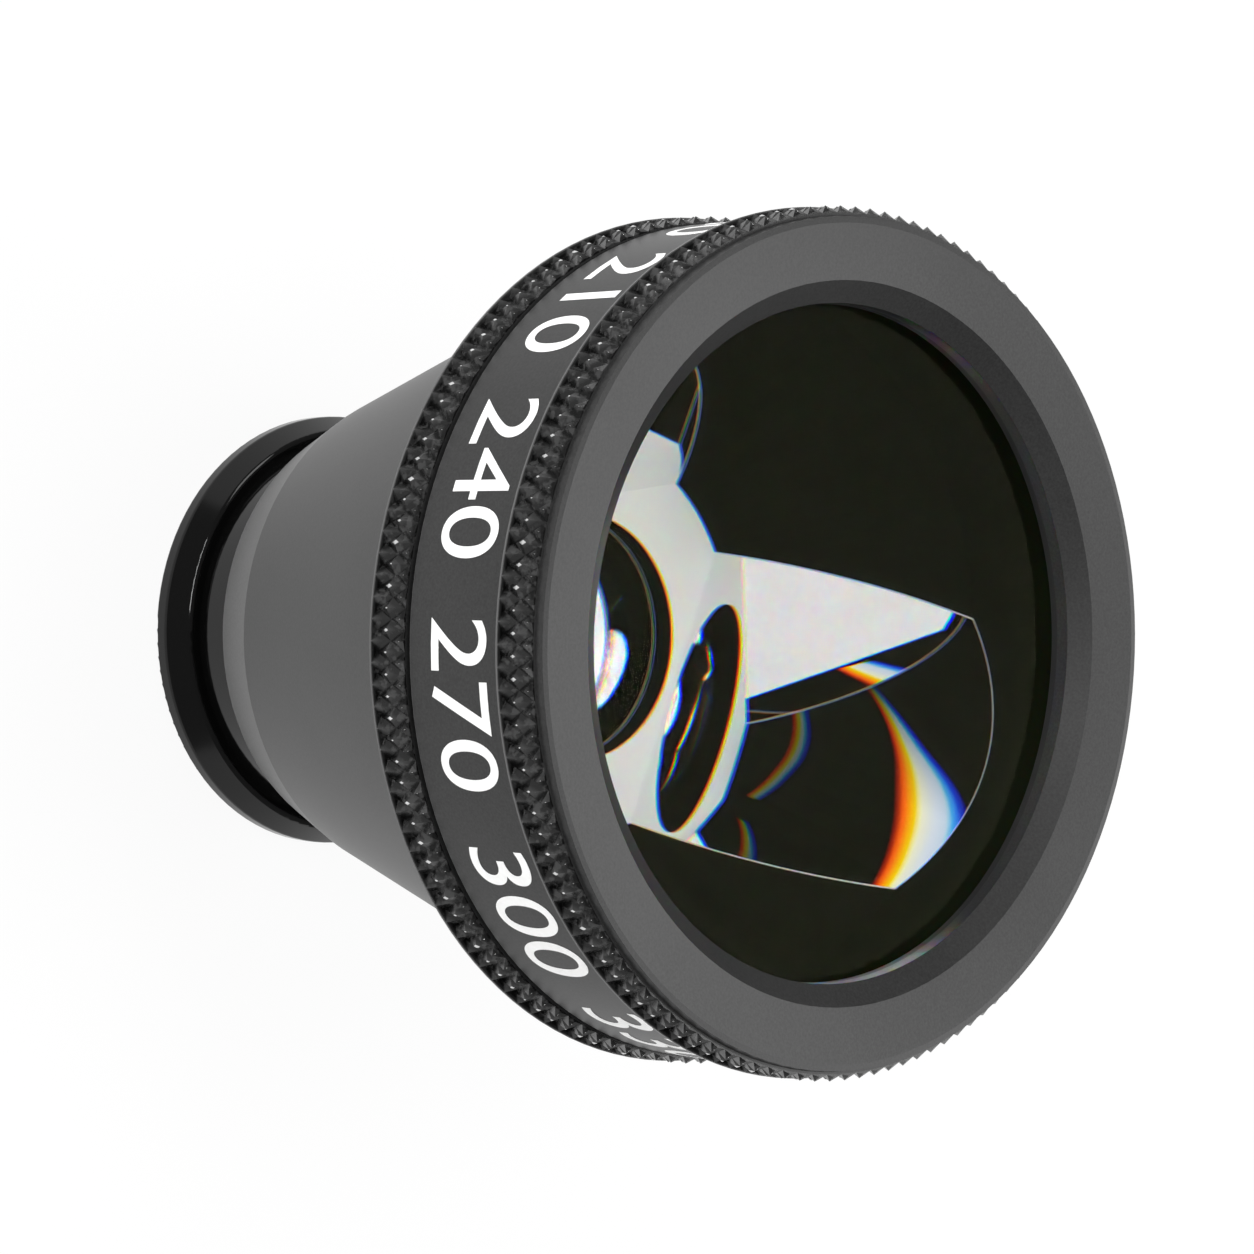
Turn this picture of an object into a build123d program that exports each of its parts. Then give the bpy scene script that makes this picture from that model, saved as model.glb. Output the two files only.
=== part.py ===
from build123d import *
from math import cos, pi, radians, sin, sqrt
import os

# A three-mirror contact lens, in millimetres. Z is the optical axis: the contact flange stands on z = 0 and
# the front face looks up.

# Contact flange
flange_radius = 10.0
flange_foot_width = 0.4
flange_foot_round = 0.15
flange_rim_height = 0.7
flange_rim_round = 0.3
flange_slant_height = 1.15
flange_slant_depth = 0.65
flange_edge_round = 0.3
neck_inset = 1.1
neck_exposed = 2.95
neck_engagement = 0.3
scleral_curve_radius = 12.5

# Optical body, its well and the seat round the well
seat_width = 3.4
corneal_curve_radius = 7.8
body_flare = 5.9
body_shoulder_drop = 2.35
front_edge_chamfer = 0.3

# Mirrors, named by the angle between each flat and the front face
mirror_angles = (59.0, 67.0, 73.0)
mirror_direction_angles = (188.0, 68.0, 308.0)
mirror_well_margin = 0.5
mirror_thickness = 0.4
mirror_end_margin = 0.25

# Washer, gasket and clearances
washer_thickness = 0.2
gasket_thickness = 0.3
gasket_width = 0.5
plug_clearance = 0.05
washer_clearance = 0.1
neck_clearance = 0.05
body_clearance = 0.1
thread_clearance = 0.1
spigot_end_clearance = 1.2

# Cone housing
base_wall = 0.9
land_height = 3.15
land_flare = 1.25
cone_height = 16.9
cone_top_wall = 1.35
spigot_wall = 1.05
shoulder_inset = 0.35
shoulder_height = 0.15

# Front ring
ring_wall = 1.5
band_width = 5.6
band_chamfer = 0.08
nose_inset = 0.12
nose_taper = 0.06
nose_height = 0.34
face_land_width = 0.25
face_dish = 0.26
bevel_width = 0.9
bevel_depth = 0.64
lip_overlap = 0.83
lip_thickness = 0.59

# Diamond knurl on both grips: one whole row of diamonds between two half rows. A thin rim closes its rear
# edge, and its front edge is chamfered.
knurl_count = 128
knurl_width = 1.8
knurl_step = 0.06
knurl_depth = 0.3
knurl_core_depth = 0.3
knurl_rim_width = 0.08
knurl_rim_margin = 0.02
knurl_chamfer_width = 0.25
knurl_chamfer_depth = 0.22

# Radii that follow, from the flange outwards and from the optical body outwards
neck_radius = flange_radius - neck_inset
well_radius = neck_radius - seat_width
neck_bore_radius = neck_radius + neck_clearance
housing_base_radius = neck_bore_radius + base_wall
land_top_radius = housing_base_radius + land_flare
body_small_radius = neck_bore_radius - body_clearance
body_large_radius = body_small_radius + body_flare
plug_radius = well_radius - plug_clearance
mirror_offset = well_radius + mirror_well_margin
housing_bore_radius = body_large_radius + body_clearance
cone_top_radius = housing_bore_radius + cone_top_wall
spigot_radius = housing_bore_radius + spigot_wall
ring_bore_radius = spigot_radius + thread_clearance
band_radius = ring_bore_radius + ring_wall
shoulder_radius = band_radius - shoulder_inset
nose_radius = band_radius - nose_inset
aperture_radius = body_large_radius - lip_overlap
bevel_radius = aperture_radius + bevel_width
knurl_root_radius = band_radius + knurl_step
knurl_tip_radius = knurl_root_radius + knurl_depth
knurl_end_radius = knurl_tip_radius - knurl_chamfer_depth
knurl_rim_radius = knurl_tip_radius + knurl_rim_margin
knurl_core_radius = knurl_root_radius - knurl_core_depth

# Heights that follow, from the foot of the flange up
slant_top = flange_rim_height + flange_slant_height
housing_base_height = slant_top + neck_exposed
neck_top = housing_base_height + neck_engagement
step_height = neck_top + washer_thickness
cone_base = housing_base_height + land_height
rear_knurl_base = cone_base + cone_height
rear_knurl_top = rear_knurl_base + knurl_width
ring_base = rear_knurl_top + shoulder_height
front_knurl_base = ring_base + band_width
front_knurl_top = front_knurl_base + knurl_width
face_height = front_knurl_top + nose_height
bevel_top = face_height - face_dish
aperture_height = bevel_top - bevel_depth
lip_height = aperture_height - lip_thickness
body_front = lip_height - gasket_thickness
body_cone_top = rear_knurl_base - body_shoulder_drop
spigot_top = lip_height - spigot_end_clearance

# The scleral curve starts at the foot and ends at the well, where the corneal curve starts
foot_inner_radius = flange_radius - flange_foot_width
scleral_centre = -sqrt(scleral_curve_radius**2 - foot_inner_radius**2)
well_rim_height = scleral_centre + sqrt(scleral_curve_radius**2 - well_radius**2)
corneal_centre = well_rim_height - sqrt(corneal_curve_radius**2 - plug_radius**2)


def turned(outline):
    """Revolve a closed outline, drawn with radius along X and height along Y."""
    return revolve(Plane.XZ * outline, Axis.Z)


def turned_corners(*points):
    return turned(make_face(Polyline(*points, close=True)))


def contact_flange():
    slant_radius = flange_radius - flange_slant_depth
    middle = (foot_inner_radius + well_radius) / 2
    outside = Polyline(
        (foot_inner_radius, 0),
        (flange_radius, 0),
        (flange_radius, flange_rim_height),
        (slant_radius, slant_top),
        (neck_radius, slant_top),
        (neck_radius, neck_top),
        (well_radius, neck_top),
        (well_radius, well_rim_height),
    )
    hollow = ThreePointArc(
        (well_radius, well_rim_height),
        (middle, scleral_centre + sqrt(scleral_curve_radius**2 - middle**2)),
        (foot_inner_radius, 0),
    )
    outline = make_face(outside + hollow)
    for corner, size in (
        ((flange_radius, 0), flange_foot_round),
        ((flange_radius, flange_rim_height), flange_rim_round),
        ((slant_radius, slant_top), flange_edge_round),
    ):
        outline = fillet(outline.vertices().sort_by_distance(corner)[0], size)
    return turned(outline)


def seat_washer():
    inner = well_radius + washer_clearance
    outer = body_small_radius - washer_clearance
    return turned_corners((inner, neck_top), (outer, neck_top), (outer, step_height), (inner, step_height))


def body_blank():
    """The clear body before its flats are cut: a cone with a short cylinder on its wide end."""
    return turned_corners(
        (0, step_height),
        (body_small_radius, step_height),
        (body_large_radius, body_cone_top),
        (body_large_radius, body_front - front_edge_chamfer),
        (body_large_radius - front_edge_chamfer, body_front),
        (0, body_front),
    )


def flat_plane(angle, direction):
    """The plane of one mirror flat. It leans outwards towards the front, and its normal points outwards."""
    outwards = Vector(cos(radians(direction)), sin(radians(direction)), 0)
    along = outwards.cross(Vector(0, 0, 1))
    normal = outwards * sin(radians(angle)) - Vector(0, 0, cos(radians(angle)))
    return Plane(origin=outwards * mirror_offset + Vector(0, 0, step_height), x_dir=along, z_dir=normal)


def slab(plane, thickness):
    size = 2 * (body_front + body_large_radius)
    return plane * Box(size, size, thickness, align=(Align.CENTER, Align.CENTER, Align.MIN))


def optical_body():
    body = body_blank()
    for angle, direction in zip(mirror_angles, mirror_direction_angles):
        body -= slab(flat_plane(angle, direction), 2 * body_large_radius)
    plug = turned_corners(
        (0, well_rim_height), (plug_radius, well_rim_height), (plug_radius, step_height), (0, step_height)
    )
    return body + plug - Pos(0, 0, corneal_centre) * Sphere(corneal_curve_radius)


def mirror(angle, direction):
    """A mirror plate bonded on its flat, with the flat's own outline."""
    ends = Pos(0, 0, step_height + mirror_end_margin) * Cylinder(
        body_large_radius,
        body_front - step_height - 2 * mirror_end_margin,
        align=(Align.CENTER, Align.CENTER, Align.MIN),
    )
    return body_blank() & slab(flat_plane(angle, direction), mirror_thickness) & ends


def knurl_point(radius, position, height):
    angle = 2 * pi * position / knurl_count
    return Vector(radius * cos(angle), radius * sin(angle), height)


def knurled_band(foot, top):
    """A band of pyramids: whole diamonds in the middle row, and half diamonds along both edges."""
    middle = (foot + top) / 2
    faces = []
    for i in range(knurl_count):
        left = knurl_point(knurl_root_radius, i, middle)
        right = knurl_point(knurl_root_radius, i + 1, middle)
        whole_tip = knurl_point(knurl_tip_radius, i + 0.5, middle)
        for edge, tip_height in ((foot, foot), (top, top - knurl_chamfer_width)):
            corner = knurl_point(knurl_root_radius, i + 0.5, edge)
            for side, position in ((left, i), (right, i + 1)):
                half_tip = knurl_point(knurl_tip_radius, position, tip_height)
                triangles = [(whole_tip, side, corner), (half_tip, side, corner)]
                if edge == top:
                    triangles.append((half_tip, knurl_point(knurl_end_radius, position, top), corner))
                faces += [Face(Wire.make_polygon(triangle)) for triangle in triangles]
    for edge, radius in ((foot, knurl_tip_radius), (top, knurl_end_radius)):
        teeth = []
        for i in range(knurl_count):
            teeth.append(knurl_point(radius, i, edge))
            teeth.append(knurl_point(knurl_root_radius, i + 0.5, edge))
        bore = Pos(0, 0, edge) * Wire.make_circle(knurl_core_radius)
        faces.append(Face(Wire.make_polygon(teeth), [bore]))
    core = Cylinder(knurl_core_radius, top - foot, align=(Align.CENTER, Align.CENTER, Align.MIN))
    faces.append(Pos(0, 0, foot) * core.faces().filter_by(GeomType.CYLINDER)[0])
    return Solid(Shell(faces))


def cone_housing():
    knurl_foot = rear_knurl_base + knurl_rim_width
    plain = turned_corners(
        (neck_bore_radius, housing_base_height),
        (housing_base_radius, housing_base_height),
        (land_top_radius, cone_base),
        (cone_top_radius, rear_knurl_base),
        (knurl_rim_radius, rear_knurl_base),
        (knurl_rim_radius, knurl_foot),
        (knurl_core_radius, knurl_foot),
        (knurl_core_radius, rear_knurl_top),
        (shoulder_radius, rear_knurl_top),
        (shoulder_radius, ring_base),
        (spigot_radius, ring_base),
        (spigot_radius, spigot_top),
        (housing_bore_radius, spigot_top),
        (housing_bore_radius, body_cone_top),
        (neck_bore_radius, step_height),
    )
    return plain + knurled_band(knurl_foot, rear_knurl_top)


def front_ring():
    relief_height = spigot_top + thread_clearance
    knurl_foot = front_knurl_base + knurl_rim_width
    plain = turned_corners(
        (ring_bore_radius, ring_base),
        (band_radius - band_chamfer, ring_base),
        (band_radius, ring_base + band_chamfer),
        (band_radius, front_knurl_base),
        (knurl_rim_radius, front_knurl_base),
        (knurl_rim_radius, knurl_foot),
        (knurl_core_radius, knurl_foot),
        (knurl_core_radius, front_knurl_top),
        (nose_radius + nose_taper, front_knurl_top),
        (nose_radius, face_height),
        (nose_radius - face_land_width, face_height),
        (bevel_radius, bevel_top),
        (aperture_radius, aperture_height),
        (aperture_radius, lip_height),
        (housing_bore_radius, lip_height),
        (housing_bore_radius, relief_height),
        (ring_bore_radius, relief_height),
    )
    return plain + knurled_band(knurl_foot, front_knurl_top)


def front_gasket():
    outer = aperture_radius + gasket_width
    return turned_corners(
        (aperture_radius, body_front), (outer, body_front), (outer, lip_height), (aperture_radius, lip_height)
    )


pieces = {
    "contact_flange": contact_flange(),
    "seat_washer": seat_washer(),
    "optical_body": optical_body(),
    "cone_housing": cone_housing(),
    "front_ring": front_ring(),
    "front_gasket": front_gasket(),
}
for angle, direction in zip(mirror_angles, mirror_direction_angles):
    pieces[f"mirror_{angle:.0f}"] = mirror(angle, direction)

os.makedirs("parts", exist_ok=True)
for name, piece in pieces.items():
    export_step(piece, f"parts/{name}.step")
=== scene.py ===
import bpy
import bmesh
from math import cos, pi, radians, sin
from mathutils import Matrix, Vector


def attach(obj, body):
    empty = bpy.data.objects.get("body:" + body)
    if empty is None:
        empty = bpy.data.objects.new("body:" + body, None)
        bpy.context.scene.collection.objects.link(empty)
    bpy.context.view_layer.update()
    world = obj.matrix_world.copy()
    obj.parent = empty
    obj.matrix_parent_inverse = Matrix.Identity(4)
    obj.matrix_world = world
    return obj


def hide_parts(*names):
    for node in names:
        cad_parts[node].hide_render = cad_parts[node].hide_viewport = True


# A three-mirror contact lens standing on its contact flange, with the front face up.
# Blender works in metres; sizes in the dictionaries are millimetres and go through mm().

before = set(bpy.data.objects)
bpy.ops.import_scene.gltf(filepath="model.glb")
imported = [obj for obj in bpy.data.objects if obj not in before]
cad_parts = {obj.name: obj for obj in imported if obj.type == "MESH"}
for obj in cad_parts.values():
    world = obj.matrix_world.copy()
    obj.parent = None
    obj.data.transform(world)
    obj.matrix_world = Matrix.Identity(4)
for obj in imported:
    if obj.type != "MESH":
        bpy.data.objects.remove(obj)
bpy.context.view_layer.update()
print("frame loaded:", len(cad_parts), "nodes")


def mm(value):
    return value / 1000


# One sRGB hex value turned to the linear colour that the shaders use
def linearColor(hexValue):
    channels = [int(hexValue[i:i + 2], 16) / 255 for i in (1, 3, 5)]
    return [c / 12.92 if c < 0.04045 else ((c + 0.055) / 1.055) ** 2.4 for c in channels] + [1]


# Adds one node: settings are its properties, inputs are values or the sockets to link
def addNode(tree, kind, settings=None, inputs=None):
    node = tree.nodes.new(kind)
    for name, value in (settings or {}).items():
        setattr(node, name, value)
    for name, value in (inputs or {}).items():
        if isinstance(value, bpy.types.NodeSocket):
            tree.links.new(value, node.inputs[name])
        else:
            node.inputs[name].default_value = value
    return node


def newMaterial(name):
    material = bpy.data.materials.new(name)
    material.use_nodes = True
    material.node_tree.nodes.clear()
    return material, material.node_tree


def finishMaterial(tree, surface):
    addNode(tree, "ShaderNodeOutputMaterial", None, {"Surface": surface})


def calculate(tree, operation, first, second=0.0, third=0.0):
    return addNode(tree, "ShaderNodeMath", {"operation": operation}, {0: first, 1: second, 2: third}).outputs[0]


# One of two colours, given as sockets or as hex values
def mixColor(tree, share, first, second):
    ends = [linearColor(end) if isinstance(end, str) else end for end in (first, second)]
    return addNode(tree, "ShaderNodeMix", {"data_type": "RGBA"}, {0: share, 6: ends[0], 7: ends[1]}).outputs[2]


def mixValue(tree, share, first, second):
    return addNode(tree, "ShaderNodeMix", {"data_type": "FLOAT"}, {0: share, 2: first, 3: second}).outputs[0]


def mixShader(tree, share, first, second):
    return addNode(tree, "ShaderNodeMixShader", None, {0: share, 1: first, 2: second}).outputs[0]


# Maps a range of values onto another one, and keeps what lies outside at its ends
def mapRange(tree, value, source, target=(0.0, 1.0)):
    return addNode(tree, "ShaderNodeMapRange", None,
                   {"Value": value, "From Min": source[0], "From Max": source[1],
                    "To Min": target[0], "To Max": target[1]}).outputs[0]


def vectorLength(tree, across, along):
    vector = addNode(tree, "ShaderNodeCombineXYZ", None, {0: across, 1: along}).outputs[0]
    return addNode(tree, "ShaderNodeVectorMath", {"operation": "LENGTH"}, {0: vector}).outputs["Value"]


# Noise on Object coordinates, with grains of a size in millimetres
def objectNoise(tree, size, detail=2.0):
    place = addNode(tree, "ShaderNodeTexCoord").outputs["Object"]
    return addNode(tree, "ShaderNodeTexNoise", None,
                   {"Vector": place, "Scale": 1 / mm(size), "Detail": detail}).outputs[0]


def noiseTint(tree, settings):
    return mixColor(tree, objectNoise(tree, settings["grain"]), settings["dark"], settings["light"])


def linkObject(name, data):
    piece = bpy.data.objects.new(name, data)
    bpy.context.scene.collection.objects.link(piece)
    return piece


# Camera, fitted to the circles of the ring, the band and the flange
cameraView = {
    "focalPixels": 4000.0,
    "framePixels": 1254,
    "sensorWidth": 36.0,
    "place": (-2.613, -118.216, 147.128),
    "right": (-0.011576, 0.730742, 0.682556),
    "up": (-0.999856, 0.0, -0.016957),
    "clipStart": 10,
    "clipEnd": 10000,
}

cameraData = bpy.data.cameras.new("camera")
cameraData.sensor_width = cameraView["sensorWidth"]
cameraData.lens = cameraView["sensorWidth"] * cameraView["focalPixels"] / cameraView["framePixels"]
cameraData.clip_start = mm(cameraView["clipStart"])
cameraData.clip_end = mm(cameraView["clipEnd"])
camera = linkObject("camera", cameraData)
cameraRight = Vector(cameraView["right"]).normalized()
cameraUp = Vector(cameraView["up"]).normalized()
cameraTurn = Matrix((cameraRight, cameraUp, cameraRight.cross(cameraUp))).transposed().to_4x4()
camera.matrix_world = Matrix.Translation([mm(x) for x in cameraView["place"]]) @ cameraTurn
bpy.context.scene.camera = camera
print("camera placed")


# White paper floor, a dim room and softboxes
studio = {
    "floorHalfSize": 1500,
    "floorColor": "#f9f9f9",
    "floorGlow": 0.92,  # share of the floor that is plain white to the camera, to gloss and to glass
    "skyForGloss": 0.26,  # the dim upper half of the room
    "skyForDiffuse": 0.45,
    "aimHeight": 20,  # the point on the axis that the softboxes face
}

floorMaterial, tree = newMaterial("paperFloor")
lightPath = addNode(tree, "ShaderNodeLightPath")
seen = calculate(tree, "MAXIMUM", lightPath.outputs["Is Camera Ray"], lightPath.outputs["Is Glossy Ray"])
seen = calculate(tree, "MAXIMUM", seen, lightPath.outputs["Is Transmission Ray"])
share = calculate(tree, "MULTIPLY", seen, studio["floorGlow"])
paper = addNode(tree, "ShaderNodeBsdfDiffuse", None, {"Color": linearColor(studio["floorColor"])})
glow = addNode(tree, "ShaderNodeEmission", None, {"Color": (1, 1, 1, 1), "Strength": 1.0})
topSide = mixShader(tree, share, paper.outputs[0], glow.outputs[0])
fromBelow = addNode(tree, "ShaderNodeNewGeometry").outputs["Backfacing"]
clear = addNode(tree, "ShaderNodeBsdfTransparent")
finishMaterial(tree, mixShader(tree, fromBelow, topSide, clear.outputs[0]))

floorMesh = bpy.data.meshes.new("floor")
half = mm(studio["floorHalfSize"])
corners = [(-half, -half, 0), (half, -half, 0), (half, half, 0), (-half, half, 0)]
floorMesh.from_pydata(corners, [], [(0, 1, 2, 3)])
floorMesh.materials.append(floorMaterial)
floor = linkObject("floor", floorMesh)

world = bpy.data.worlds.new("room")
bpy.context.scene.world = world
world.use_nodes = True
tree = world.node_tree
tree.nodes.clear()
lightPath = addNode(tree, "ShaderNodeLightPath")
white = calculate(tree, "MAXIMUM", lightPath.outputs["Is Camera Ray"], lightPath.outputs["Is Transmission Ray"])
dim = mixValue(tree, lightPath.outputs["Is Glossy Ray"], studio["skyForDiffuse"], studio["skyForGloss"])
strength = mixValue(tree, white, dim, 1.0)
background = addNode(tree, "ShaderNodeBackground", None, {"Color": (1, 1, 1, 1), "Strength": strength})
addNode(tree, "ShaderNodeOutputWorld", None, {"Surface": background.outputs[0]})

# Softboxes: direction from the aim, distance, size, and the radiance of their cloth
softboxes = {
    "frontSoftbox": {"toward": (0.12, 0.78, 0.58), "distance": 450, "size": (220, 220), "radiance": 4.8},
    "overheadSoftbox": {"toward": (-0.12, -0.05, 1.0), "distance": 450, "size": (170, 170), "radiance": 7.5},
    "topSoftbox": {"toward": (-0.85, -0.10, 0.50), "distance": 400, "size": (160, 160), "radiance": 5.0},
    "sideSoftbox": {"toward": (0.30, -0.85, 0.42), "distance": 420, "size": (120, 200), "radiance": 2.4},
    "edgeSoftbox": {"toward": (-0.42, -0.88, 0.25), "distance": 360, "size": (220, 36), "radiance": 22.0},
}
for name, box in softboxes.items():
    data = bpy.data.lights.new(name, "AREA")
    data.shape = "RECTANGLE"
    data.size, data.size_y = (mm(length) for length in box["size"])
    data.energy = box["radiance"] * pi * data.size * data.size_y
    lamp = linkObject(name, data)
    toward = Vector(box["toward"]).normalized()
    lamp.location = Vector((0, 0, mm(studio["aimHeight"]))) + toward * mm(box["distance"])
    lamp.rotation_mode = "QUATERNION"
    lamp.rotation_quaternion = toward.to_track_quat("Z", "Y")
bpy.context.scene.view_settings.view_transform = "Standard"
print("floor, room and softboxes ready")


# Anodised aluminium: dyed black and sealed after a fine bead blast, so it is satin, with a dusty grey
# grain. The diamonds are cut later and shinier, and painted darker as painted shade; their ridges are lighter,
# partly wear and partly a painted highlight. Every turned edge carries a thin painted highlight stripe.
anodised = {
    "faceDark": "#242424",
    "faceLight": "#323232",
    # the two tones below are painted light on the land by the flange, for its steeper slope
    "paintedLitLandDark": "#4e4e4e",
    "paintedLitLandLight": "#5c5c5c",
    "landTop": 7.95,
    # the diamonds are painted darker, painted shade for the dark room that their facets reflect
    "knurlPaintedShade": "#101010",
    # the lighter tone below is wear and a painted highlight on the ridges, and random blotches
    "knurlWearAndHighlight": "#383838",
    # the colour of the painted highlight stripes round the turned edges
    "edge": "#5c5c5c",
    "highlightStripeWidth": 0.05,
    "grain": 0.11,
    "grainDetail": 3.0,
    "grainShare": 0.65,
    "cloud": 9.0,
    "cloudShare": 0.35,
    "spread": (0.35, 0.65),  # the noise values that become the dark and the light tone
    "blotch": 0.35,
    "blotchSpread": (0.50, 0.62),
    "blastStrength": 0.12,
    "blastDepth": 0.02,
    "roughness": 0.38,
    "knurlRoughness": 0.22,
    "index": 1.5,
    "specular": 0.30,
    # distances from the axis over which the knurl's finish fades in, and then its lighter ridges, wear and
    # painted highlight
    "knurlRadii": (17.52, 17.55),
    "ridgeRadii": (17.68, 17.86),
    # radius and height of the turned edges that get a thin painted highlight stripe
    "housingHighlightEdges": ((9.85, 4.8), (17.88, 24.85), (17.88, 24.93)),
    "ringHighlightEdges": ((17.5, 26.84), (17.88, 32.4), (17.88, 32.48)),
}


def anodisedAluminium(name, settings, edges, hasLand):
    material, tree = newMaterial(name)
    grain = objectNoise(tree, settings["grain"], settings["grainDetail"])
    cloud = calculate(tree, "MULTIPLY", objectNoise(tree, settings["cloud"]), settings["cloudShare"])
    tone = calculate(tree, "MULTIPLY_ADD", grain, settings["grainShare"], cloud)
    spread = mapRange(tree, tone, settings["spread"])
    color = mixColor(tree, spread, settings["faceDark"], settings["faceLight"])
    place = addNode(tree, "ShaderNodeTexCoord").outputs["Object"]
    split = addNode(tree, "ShaderNodeSeparateXYZ", None, {0: place})
    height = split.outputs[2]
    radius = vectorLength(tree, split.outputs[0], split.outputs[1])
    if hasLand:  # the land by the flange is painted lighter: painted light, for the light that its steeper slope catches
        land = mixColor(tree, spread, settings["paintedLitLandDark"], settings["paintedLitLandLight"])
        color = mixColor(tree, calculate(tree, "LESS_THAN", height, mm(settings["landTop"])), color, land)
    # distance from the axis picks out the diamonds (painted shade) and their ridges (wear and painted
    # highlight)
    onKnurl = mapRange(tree, radius, [mm(x) for x in settings["knurlRadii"]])
    ridgeWearAndHighlight = mapRange(tree, radius, [mm(x) for x in settings["ridgeRadii"]])
    blotch = mapRange(tree, objectNoise(tree, settings["blotch"]), settings["blotchSpread"])
    # the ridges' lighter tone is wear and painted highlight, joined with random blotches
    wearHighlightAndBlotch = calculate(tree, "MAXIMUM", ridgeWearAndHighlight, blotch)
    diamond = mixColor(tree, wearHighlightAndBlotch, settings["knurlPaintedShade"], settings["knurlWearAndHighlight"])
    color = mixColor(tree, onKnurl, color, diamond)
    # painted highlight: a thin lighter stripe round each turned edge
    highlightStripeShare = 0.0
    for highlightRadius, highlightHeight in edges:
        across = calculate(tree, "SUBTRACT", radius, mm(highlightRadius))
        along = calculate(tree, "SUBTRACT", height, mm(highlightHeight))
        highlightStripe = calculate(tree, "LESS_THAN", vectorLength(tree, across, along), mm(settings["highlightStripeWidth"]))
        highlightStripeShare = calculate(tree, "MAXIMUM", highlightStripeShare, highlightStripe)
    color = mixColor(tree, highlightStripeShare, color, settings["edge"])
    rough = mixValue(tree, onKnurl, settings["roughness"], settings["knurlRoughness"])
    blast = addNode(tree, "ShaderNodeBump", None,
                    {"Strength": settings["blastStrength"], "Distance": mm(settings["blastDepth"]),
                     "Height": grain})
    shader = addNode(tree, "ShaderNodeBsdfPrincipled", None,
                     {"Base Color": color, "Roughness": rough, "IOR": settings["index"],
                      "Specular IOR Level": settings["specular"], "Normal": blast.outputs[0]})
    finishMaterial(tree, shader.outputs[0])
    return material


housingMetal = anodisedAluminium("anodisedAluminiumHousing", anodised, anodised["housingHighlightEdges"], True)
ringMetal = anodisedAluminium("anodisedAluminiumRing", anodised, anodised["ringHighlightEdges"], False)


# Black acrylic flange: turned and polished, so lamps draw sharp lines on it
polishedBlack = {
    "color": "#080808",
    "roughness": (0.05, 0.10),
    "patch": 3.0,
    "index": 1.49,
    "specular": 0.28,
}
flangePlastic, tree = newMaterial("polishedBlackAcrylic")
rough = mapRange(tree, objectNoise(tree, polishedBlack["patch"]), (0.0, 1.0), polishedBlack["roughness"])
shader = addNode(tree, "ShaderNodeBsdfPrincipled", None,
                 {"Base Color": linearColor(polishedBlack["color"]), "Roughness": rough,
                  "IOR": polishedBlack["index"], "Specular IOR Level": polishedBlack["specular"]})
finishMaterial(tree, shader.outputs[0])


# A plain finish in two close tones of one colour
def tintedFinish(name, settings):
    material, tree = newMaterial(name)
    shader = addNode(tree, "ShaderNodeBsdfPrincipled", None,
                     {"Base Color": noiseTint(tree, settings), "Roughness": settings["roughness"],
                      "IOR": settings["index"], "Metallic": settings["metallic"]})
    finishMaterial(tree, shader.outputs[0])
    return material


# Rubber gasket: moulded black rubber, dull
mouldedRubber = {"grain": 0.4, "dark": "#0b0b0b", "light": "#161616", "roughness": 0.6, "index": 1.5,
                 "metallic": 0.0}
gasketRubber = tintedFinish("mouldedBlackRubber", mouldedRubber)

# Washer: white acetal, matt as it comes from the sheet
acetalSheet = {"grain": 0.6, "dark": "#dcdedb", "light": "#e8eae6", "roughness": 0.55, "index": 1.48,
               "metallic": 0.0}
washerPlastic = tintedFinish("whiteAcetalSheet", acetalSheet)

# Mirror coat: vacuum-deposited silver behind acrylic, as bright as the room it shows
silverCoat = {"grain": 4.0, "dark": "#f1f1f2", "light": "#f6f6f5", "roughness": 0.0, "index": 1.5,
              "metallic": 1.0}
mirrorCoat = tintedFinish("silverMirrorCoat", silverCoat)
print("solid finishes ready")


# The clear body: a copy of the CAD solid, with its walls painted, its flats silvered and its edges ground
acrylicBody = {
    "step": 5.3,  # heights of the step round the plug and of the front face
    "front": 32.75,
    "cornealCentre": -2.361,  # height of the centre of the hollow's sphere
    "cornealRadius": 7.8,
    "flats": ((59, 188), (67, 68), (73, 308)),  # angle to the front face, direction round the axis
    "flatOffset": 6.0,
    "groundFlats": 2,  # the long edges of the third flat stay black: painted shade, where they catch no light
    "groundEdge": 0.04,
    "airGap": 0.01,
    "weldDistance": 0.0005,
    "planeLimit": 0.02,  # a face this near a plane or the sphere counts as on it
    "rimLimit": 0.001,  # an edge this near the lowest point is on the rim of the hollow
    "levelNormal": 0.999,
    "indexRed": 1.483,
    "indexGreen": 1.490,
    "indexBlue": 1.500,
    "coat": "#fff6e0",
    "coatShare": 0.002,
}


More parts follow.
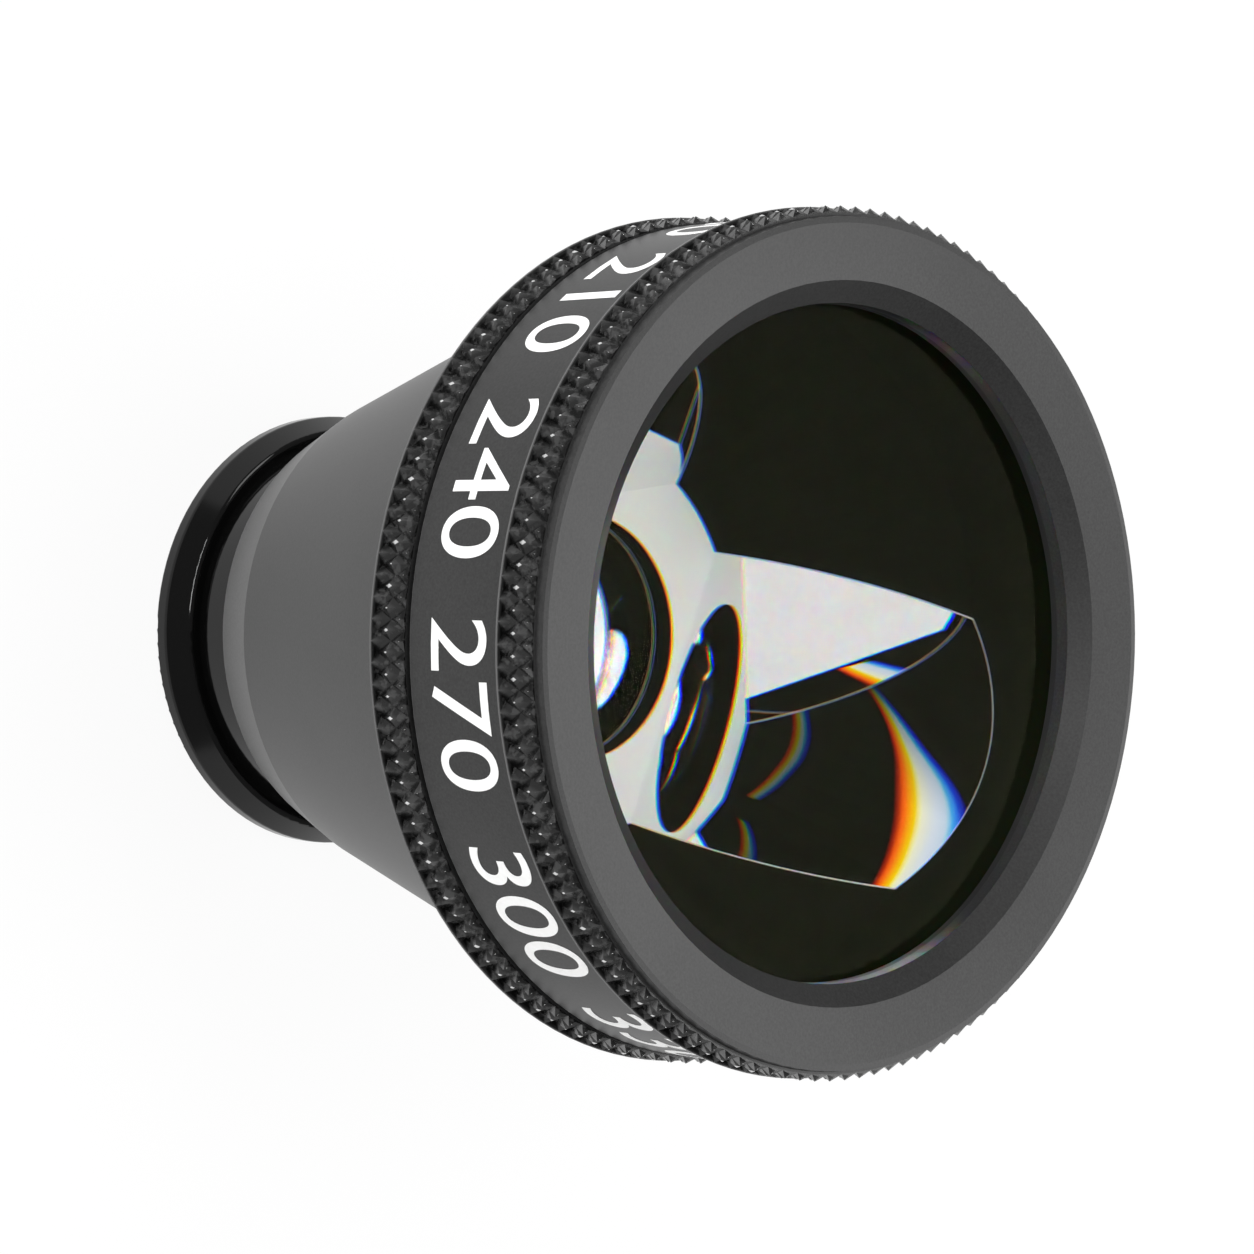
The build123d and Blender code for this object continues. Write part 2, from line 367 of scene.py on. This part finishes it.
# Polished acrylic: cast, turned and polished, with an anti-reflection coat outside.
# Red, green and blue each bend by their own amount, which gives the coloured edges.
def polishedAcrylic(name, settings):
    material, tree = newMaterial(name)
    outside = inside = None
    for tint, index in (((1, 0, 0, 1), "indexRed"), ((0, 1, 0, 1), "indexGreen"), ((0, 0, 1, 1), "indexBlue")):
        inputs = {"Color": tint, "Roughness": 0.0, "IOR": settings[index]}
        bent = addNode(tree, "ShaderNodeBsdfRefraction", None, inputs).outputs[0]
        glass = addNode(tree, "ShaderNodeBsdfGlass", None, inputs).outputs[0]
        if outside is None:
            outside, inside = bent, glass
        else:
            outside = addNode(tree, "ShaderNodeAddShader", None, {0: outside, 1: bent}).outputs[0]
            inside = addNode(tree, "ShaderNodeAddShader", None, {0: inside, 1: glass}).outputs[0]
    coat = addNode(tree, "ShaderNodeBsdfGlossy", None,
                   {"Color": linearColor(settings["coat"]), "Roughness": 0.0})
    outside = mixShader(tree, settings["coatShare"], outside, coat.outputs[0])
    fromInside = addNode(tree, "ShaderNodeNewGeometry").outputs["Backfacing"]
    both = mixShader(tree, fromInside, outside, inside)
    forShadow = addNode(tree, "ShaderNodeLightPath").outputs["Is Shadow Ray"]
    passing = addNode(tree, "ShaderNodeBsdfTransparent")
    finishMaterial(tree, mixShader(tree, forShadow, both, passing.outputs[0]))
    return material


clearAcrylic = polishedAcrylic("polishedAcrylic", acrylicBody)

# Black paint brushed on behind the acrylic, which shows it as olive. A band of rainbow colours is painted on
# one
# side of it as glowing light: painted light between two height curves round the axis, red on its lower edge and
# blue on its upper one.
wallPaint = {
    "grain": 5.0,
    "dark": "#101309",
    "light": "#161a10",
    "paintedSpectrumColors": ((0.0, "#000000"), (0.05, "#8a1c00"), (0.14, "#ff7a00"), (0.24, "#ffc400"), (0.34, "#f6f0d0"),
                 (0.52, "#dde2ea"), (0.72, "#c6d6e8"), (0.81, "#4aa0f0"), (0.91, "#0b3cc4"), (1.0, "#000000")),
    # each arc of painted light: the azimuths of its ends and of its fade, its strength at both ends of the
    # fade, and its lower and upper height at even steps
    "paintedLightArcs": (
        {"azimuths": (214.0, 264.0), "fade": (216.0, 242.0), "strengths": (0.05, 1.0),
         "lower": (10.7, 12.9, 13.9, 14.4, 14.2), "upper": (11.1, 14.5, 18.0, 18.0, 16.6)},
        {"azimuths": (218.0, 256.0), "fade": (218.0, 226.0), "strengths": (0.0, 0.14),
         "lower": (6.6, 7.5, 7.8, 7.3, 6.4), "upper": (7.3, 8.3, 8.7, 8.1, 7.0)},
    ),
}


# A smooth curve through even steps of height. It holds shares of twice the highest one, so that it can swing
# past it without meeting its own limit.
def heightCurve(tree, position, heights):
    node = addNode(tree, "ShaderNodeFloatCurve", None, {"Value": position})
    curve = node.mapping.curves[0]
    top = max(heights) * 2
    last = len(heights) - 1
    curve.points[0].location = (0, heights[0] / top)
    curve.points[-1].location = (1, heights[last] / top)
    for number in range(1, last):
        curve.points.new(number / last, heights[number] / top)
    node.mapping.update()
    return calculate(tree, "MULTIPLY", node.outputs[0], mm(top))


# one arc of painted light: rainbow colours that glow on the paint
def paintedSpectrumArc(tree, turn, height, paintedSpectrumColors, arc):
    first, last = (radians(a) for a in arc["azimuths"])
    position = mapRange(tree, turn, (first, last))
    lower = heightCurve(tree, position, arc["lower"])
    upper = heightCurve(tree, position, arc["upper"])
    ramp = addNode(tree, "ShaderNodeValToRGB", None, {"Fac": mapRange(tree, height, (lower, upper))})
    while len(ramp.color_ramp.elements) < len(paintedSpectrumColors):
        ramp.color_ramp.elements.new(0.5)
    for element, (place, color) in zip(ramp.color_ramp.elements, paintedSpectrumColors):
        element.position = place
        element.color = linearColor(color)
    fade = mapRange(tree, turn, [radians(a) for a in arc["fade"]], arc["strengths"])
    inRange = calculate(tree, "MULTIPLY", calculate(tree, "GREATER_THAN", turn, first),
                        calculate(tree, "LESS_THAN", turn, last))
    strength = calculate(tree, "MULTIPLY", fade, inRange)
    # the painted light is an emission on the paint, not a lamp
    return addNode(tree, "ShaderNodeEmission", None, {"Color": ramp.outputs[0], "Strength": strength})


def paintWithPaintedSpectrum(name, settings):
    material, tree = newMaterial(name)
    place = addNode(tree, "ShaderNodeTexCoord").outputs["Object"]
    split = addNode(tree, "ShaderNodeSeparateXYZ", None, {0: place})
    # each painted light arc lies where the angle is negative, so a full turn is added
    turn = calculate(tree, "ADD", calculate(tree, "ARCTAN2", split.outputs[1], split.outputs[0]), 2 * pi)
    surface = addNode(tree, "ShaderNodeBsdfDiffuse", None, {"Color": noiseTint(tree, settings)})
    for arc in settings["paintedLightArcs"]:
        glowingPaintedLight = paintedSpectrumArc(tree, turn, split.outputs[2], settings["paintedSpectrumColors"], arc)
        surface = addNode(tree, "ShaderNodeAddShader", None, {0: surface.outputs[0], 1: glowingPaintedLight.outputs[0]})
    finishMaterial(tree, surface.outputs[0])
    return material


paintWithPaintedLight = paintWithPaintedSpectrum("blackPaintWithPaintedLight", wallPaint)

# Ground acrylic: fine-ground, so it scatters white
groundFinish = {"grain": 0.15, "dark": "#e2e5e2", "light": "#eef0ee"}
groundAcrylic, tree = newMaterial("groundAcrylic")
shader = addNode(tree, "ShaderNodeBsdfDiffuse", None, {"Color": noiseTint(tree, groundFinish)})
finishMaterial(tree, shader.outputs[0])


def flatPlane(settings, angle, direction):
    outward = Vector((cos(radians(direction)), sin(radians(direction)), 0))
    normal = outward * sin(radians(angle)) - Vector((0, 0, cos(radians(angle))))
    return outward * mm(settings["flatOffset"]) + Vector((0, 0, mm(settings["step"]))), normal


def dressedBody(settings):
    bm = bmesh.new()
    bm.from_mesh(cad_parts["optical_body"].data)
    bmesh.ops.remove_doubles(bm, verts=bm.verts, dist=mm(settings["weldDistance"]))
    planes = [flatPlane(settings, *flat) for flat in settings["flats"]]
    step, front = mm(settings["step"]), mm(settings["front"])
    near = mm(settings["planeLimit"])
    clearFace, painted, silvered, ground = range(4)

    def onFlat(face, flats=planes):
        return any(all(abs((v.co - point).dot(normal)) < near for v in face.verts) for point, normal in flats)

    # the edges between a ground flat and the round wall are ground, and so is the rim of the hollow; the third
    # flat's edges stay black as painted shade
    groundPlanes = planes[:settings["groundFlats"]]
    rimTop = min(v.co.z for v in bm.verts) + mm(settings["rimLimit"])
    sharp = []
    for edge in bm.edges:
        middle = (edge.verts[0].co + edge.verts[1].co) / 2
        onWall = step + near < middle.z < front - near
        sides = [onFlat(face, groundPlanes) for face in edge.link_faces]
        onRim = max(v.co.z for v in edge.verts) < rimTop
        if onRim or (onWall and any(sides) and not all(sides)):
            sharp.append(edge)
    bmesh.ops.bevel(bm, geom=sharp, offset=mm(settings["groundEdge"]), offset_type="OFFSET", segments=1,
                    affect="EDGES", material=ground)
    print("ground edges:", len(sharp))
    # a hair of air keeps the body's faces off the faces that touch it
    bm.normal_update()
    for v, normal in [(v, v.normal.copy()) for v in bm.verts]:
        v.co -= normal * mm(settings["airGap"])
    centre = Vector((0, 0, mm(settings["cornealCentre"])))
    for face in bm.faces:
        face.normal_update()
        face.smooth = False
        if face.material_index == ground:
            continue
        height = face.calc_center_median().z
        offSphere = max(abs((v.co - centre).length - mm(settings["cornealRadius"])) for v in face.verts)
        if face.normal.z > settings["levelNormal"] and height > front - near:
            face.material_index = clearFace
        elif offSphere < near:
            face.material_index = clearFace
            face.smooth = True
        elif onFlat(face):
            face.material_index = silvered
        elif face.normal.z < -settings["levelNormal"] and abs(height - step) < near:
            face.material_index = ground
        else:
            face.material_index = painted
    for edge in bm.edges:
        edge.smooth = len({face.smooth for face in edge.link_faces}) == 1
    mesh = bpy.data.meshes.new("acrylicBody")
    bm.to_mesh(mesh)
    bm.free()
    for material in (clearAcrylic, paintWithPaintedLight, mirrorCoat, groundAcrylic):
        mesh.materials.append(material)
    return linkObject("acrylicBody", mesh)


body = dressedBody(acrylicBody)
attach(body, "root")
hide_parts("optical_body")
print("clear body dressed")


# Starts a Geometry Nodes tree whose named inputs are the sizes of a piece
def newGeometryTree(name, sizes):
    tree = bpy.data.node_groups.new(name, "GeometryNodeTree")
    for label, value in sizes.items():
        kind = "NodeSocketInt" if isinstance(value, int) else "NodeSocketFloat"
        tree.interface.new_socket(label, in_out="INPUT", socket_type=kind)
    tree.interface.new_socket("material", in_out="INPUT", socket_type="NodeSocketMaterial")
    tree.interface.new_socket("Geometry", in_out="OUTPUT", socket_type="NodeSocketGeometry")
    return tree, tree.nodes.new("NodeGroupInput").outputs


def finishGeometryTree(tree, geometry, material):
    whole = addNode(tree, "GeometryNodeRealizeInstances", None, {"Geometry": geometry})
    dressed = addNode(tree, "GeometryNodeSetMaterial", None,
                      {"Geometry": whole.outputs[0], "Material": material})
    addNode(tree, "NodeGroupOutput", None, {"Geometry": dressed.outputs[0]})


# Runs a tree with the given sizes and returns the plain mesh that it makes
def grownMesh(name, tree, sizes, material):
    seed = linkObject(name, bpy.data.meshes.new(name))
    modifier = seed.modifiers.new(name, "NODES")
    modifier.node_group = tree
    given = {**sizes, "material": material}
    for socket in tree.interface.items_tree:
        if socket.in_out == "INPUT":
            modifier[socket.identifier] = given[socket.name]
    mesh = bpy.data.meshes.new_from_object(seed.evaluated_get(bpy.context.evaluated_depsgraph_get()))
    seed.modifiers.remove(modifier)
    bpy.data.objects.remove(seed)
    return mesh


# Worn tips: every diamond has lost its dye on its tip, and the bare metal sparkles
wornTips = {
    "count": 128,
    "width": 0.10,  # half sizes of a tip's diamond outline, on the slopes of the knurl
    "length": 0.20,
    "depth": 0.067,
    "proud": 0.015,  # how far its point stands out of the knurl
    "smallest": 0.25,  # share of the full size
    "seed": 7,
    "tipRadius": 17.86,
    "rearMiddle": 25.79,
    "frontMiddle": 33.34,
    "toChamfer": 0.735,  # from the middle row up to the middle of the chamfered ridges
    "chamferRadius": 17.75,
    "chamferLean": -41.3,
    "chamferWidth": 0.06,
}

# Bare metal: rubbed bright by handling, with fine scratches
rubbedMetal = {"grain": 0.5, "dark": "#c4c4c4", "light": "#f0f0f0", "scratch": 0.05, "roughness": (0.30, 0.50)}
bareMetal, tree = newMaterial("bareWornAluminium")
rough = mapRange(tree, objectNoise(tree, rubbedMetal["scratch"]), (0.0, 1.0), rubbedMetal["roughness"])
shader = addNode(tree, "ShaderNodeBsdfPrincipled", None,
                 {"Base Color": noiseTint(tree, rubbedMetal), "Metallic": 1.0, "Roughness": rough})
finishMaterial(tree, shader.outputs[0])


def tipRowTree(sizes):
    tree, given = newGeometryTree("tipRow", sizes)
    number = addNode(tree, "GeometryNodeInputIndex").outputs[0]
    place = calculate(tree, "DIVIDE", calculate(tree, "ADD", number, given["shift"]), given["count"])
    angle = calculate(tree, "MULTIPLY", place, 2 * pi)
    across = calculate(tree, "MULTIPLY", calculate(tree, "COSINE", angle), given["radius"])
    away = calculate(tree, "MULTIPLY", calculate(tree, "SINE", angle), given["radius"])
    spot = addNode(tree, "ShaderNodeCombineXYZ", None, {0: across, 1: away, 2: given["height"]})
    row = addNode(tree, "GeometryNodePoints", None, {"Count": given["count"], "Position": spot.outputs[0]})
    # a four-sided cone, laid down so that it points outwards, then scaled and leaned
    cone = addNode(tree, "GeometryNodeMeshCone", None,
                   {"Vertices": 4, "Radius Top": 0.0, "Radius Bottom": 1.0, "Depth": 1.0})
    laid = addNode(tree, "GeometryNodeTransform", None,
                   {"Geometry": cone.outputs["Mesh"], "Rotation": (0, pi / 2, 0), "Translation": (-1, 0, 0)})
    sides = addNode(tree, "ShaderNodeCombineXYZ", None,
                    {0: given["depth"], 1: given["width"], 2: given["length"]})
    lean = addNode(tree, "ShaderNodeCombineXYZ", None, {1: given["lean"]})
    tip = addNode(tree, "GeometryNodeTransform", None,
                  {"Geometry": laid.outputs[0], "Scale": sides.outputs[0], "Rotation": lean.outputs[0]})
    facing = addNode(tree, "ShaderNodeCombineXYZ", None, {2: angle})
    turned = addNode(tree, "FunctionNodeEulerToRotation", None, {0: facing.outputs[0]})
    wear = addNode(tree, "FunctionNodeRandomValue", {"data_type": "FLOAT"},
                   {2: given["smallest"], 3: 1.0, "Seed": given["seed"]})
    tips = addNode(tree, "GeometryNodeInstanceOnPoints", None,
                   {"Points": row.outputs[0], "Instance": tip.outputs[0], "Rotation": turned.outputs[0],
                    "Scale": wear.outputs[1]})
    finishGeometryTree(tree, tips.outputs[0], given["material"])
    return tree


def knurlWear(settings):
    common = {"count": settings["count"], "length": mm(settings["length"]), "depth": mm(settings["depth"]),
              "smallest": settings["smallest"]}
    rows = []
    for middle in (settings["rearMiddle"], settings["frontMiddle"]):
        rows.append({"shift": 0.5, "radius": mm(settings["tipRadius"] + settings["proud"]),
                     "height": mm(middle), "width": mm(settings["width"]), "lean": 0.0})
        rows.append({"shift": 0.0, "radius": mm(settings["chamferRadius"] + settings["proud"]),
                     "height": mm(middle + settings["toChamfer"]), "width": mm(settings["chamferWidth"]),
                     "lean": radians(settings["chamferLean"])})
    rows = [{**common, **row, "seed": settings["seed"] + number} for number, row in enumerate(rows)]
    tree = tipRowTree(rows[0])
    bm = bmesh.new()
    for sizes in rows:
        bm.from_mesh(grownMesh("tipRow", tree, sizes, bareMetal))
    mesh = bpy.data.meshes.new("knurlWear")
    bm.to_mesh(mesh)
    bm.free()
    mesh.materials.append(bareMetal)
    return linkObject("knurlWear", mesh)


wear = knurlWear(wornTips)
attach(wear, "root")
print("knurl tips worn:", len(wear.data.polygons), "faces")


# Numbers round the band: engraved and filled with white enamel, every thirty degrees
bandNumbers = {
    "count": 12,
    "step": 30,
    "letterSize": 4.75,  # its digits are 3.4 mm tall
    "radius": 17.5,
    "middle": 29.6,  # height of the middle of the digits
    "turn": 8.0,  # degrees from +X to the first number
    "stand": 0.012,  # from the band to the top of the enamel
    "fillDepth": 0.01,
    "weldDistance": 0.001,
}

# White enamel: brushed in and wiped, so it is slightly uneven
enamelFilling = {"grain": 0.25, "dark": "#f2f2f0", "light": "#ffffff", "roughness": 0.45, "index": 1.5,
                 "metallic": 0.0}
whiteEnamel = tintedFinish("whiteEnamelFilling", enamelFilling)


# The numbers are written on a flat strip in a loop, given a thickness, and wrapped round the band
def numberTree(sizes):
    tree, given = newGeometryTree("numberStrip", sizes)
    loopStart = tree.nodes.new("GeometryNodeRepeatInput")
    loopEnd = tree.nodes.new("GeometryNodeRepeatOutput")
    loopStart.pair_with_output(loopEnd)
    tree.links.new(given["count"], loopStart.inputs["Iterations"])
    turnNumber = loopStart.outputs["Iteration"]
    value = calculate(tree, "MULTIPLY", turnNumber, given["step"])
    text = addNode(tree, "FunctionNodeValueToString", {"data_type": "INT"}, {"Value": value})
    letters = addNode(tree, "GeometryNodeStringToCurves", {"align_x": "CENTER", "align_y": "MIDDLE"},
                      {"String": text.outputs[0], "Size": given["letterSize"]})
    outline = addNode(tree, "GeometryNodeRealizeInstances", None, {"Geometry": letters.outputs[0]})
    filled = addNode(tree, "GeometryNodeFillCurve", {"mode": "TRIANGLES"}, {"Curve": outline.outputs[0]})
    share = calculate(tree, "DIVIDE", turnNumber, given["count"])
    angle = calculate(tree, "MULTIPLY_ADD", share, 2 * pi, given["turn"])
    length = calculate(tree, "MULTIPLY", angle, given["radius"])
    along = addNode(tree, "ShaderNodeCombineXYZ", None, {0: length})
    moved = addNode(tree, "GeometryNodeTransform", None,
                    {"Geometry": filled.outputs[0], "Translation": along.outputs[0]})
    joined = tree.nodes.new("GeometryNodeJoinGeometry")
    tree.links.new(loopStart.outputs["Geometry"], joined.inputs[0])
    tree.links.new(moved.outputs[0], joined.inputs[0])
    tree.links.new(joined.outputs[0], loopEnd.inputs["Geometry"])

    strip = addNode(tree, "GeometryNodeSubdivideMesh", None, {"Mesh": loopEnd.outputs["Geometry"], "Level": 1})
    depth = addNode(tree, "ShaderNodeCombineXYZ", None, {2: given["fillDepth"]})
    raised = addNode(tree, "GeometryNodeExtrudeMesh", None,
                     {"Mesh": strip.outputs[0], "Offset": depth.outputs[0], "Individual": False})
    back = addNode(tree, "GeometryNodeFlipFaces", None, {"Mesh": strip.outputs[0]})
    shut = tree.nodes.new("GeometryNodeJoinGeometry")
    tree.links.new(raised.outputs["Mesh"], shut.inputs[0])
    tree.links.new(back.outputs[0], shut.inputs[0])
    merged = addNode(tree, "GeometryNodeMergeByDistance", None,
                     {"Geometry": shut.outputs[0], "Distance": given["weldDistance"]})

    spot = addNode(tree, "GeometryNodeInputPosition").outputs[0]
    place = addNode(tree, "ShaderNodeSeparateXYZ", None, {0: spot})
    around = calculate(tree, "DIVIDE", place.outputs[0], given["radius"])
    surface = calculate(tree, "ADD", given["radius"], given["stand"])
    outward = calculate(tree, "ADD", place.outputs[2], surface)
    wrapped = addNode(tree, "ShaderNodeCombineXYZ", None,
                      {0: calculate(tree, "MULTIPLY", calculate(tree, "COSINE", around), outward),
                       1: calculate(tree, "MULTIPLY", calculate(tree, "SINE", around), outward),
                       2: calculate(tree, "ADD", place.outputs[1], given["middle"])})
    onBand = addNode(tree, "GeometryNodeSetPosition", None,
                     {"Geometry": merged.outputs[0], "Position": wrapped.outputs[0]})
    finishGeometryTree(tree, onBand.outputs[0], given["material"])
    return tree


numberSizes = {
    "count": bandNumbers["count"],
    "step": bandNumbers["step"],
    "letterSize": mm(bandNumbers["letterSize"]),
    "radius": mm(bandNumbers["radius"]),
    "middle": mm(bandNumbers["middle"]),
    "turn": radians(bandNumbers["turn"]),
    "stand": mm(bandNumbers["stand"] - bandNumbers["fillDepth"]),
    "fillDepth": mm(bandNumbers["fillDepth"]),
    "weldDistance": mm(bandNumbers["weldDistance"]),
}
numberMesh = grownMesh("bandNumbers", numberTree(numberSizes), numberSizes, whiteEnamel)
numbers = linkObject("bandNumbers", numberMesh)
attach(numbers, "root")
print("band numbered:", len(numbers.data.polygons), "faces")


finishes = {
    "contact_flange": flangePlastic,
    "seat_washer": washerPlastic,
    "mirror_59": mirrorCoat,
    "mirror_67": mirrorCoat,
    "mirror_73": mirrorCoat,
    "cone_housing": housingMetal,
    "front_ring": ringMetal,
    "front_gasket": gasketRubber,
    "optical_body": clearAcrylic,
}
for name, material in finishes.items():
    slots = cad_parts[name].data.materials
    slots.clear()
    slots.append(material)
print("finishes put on")
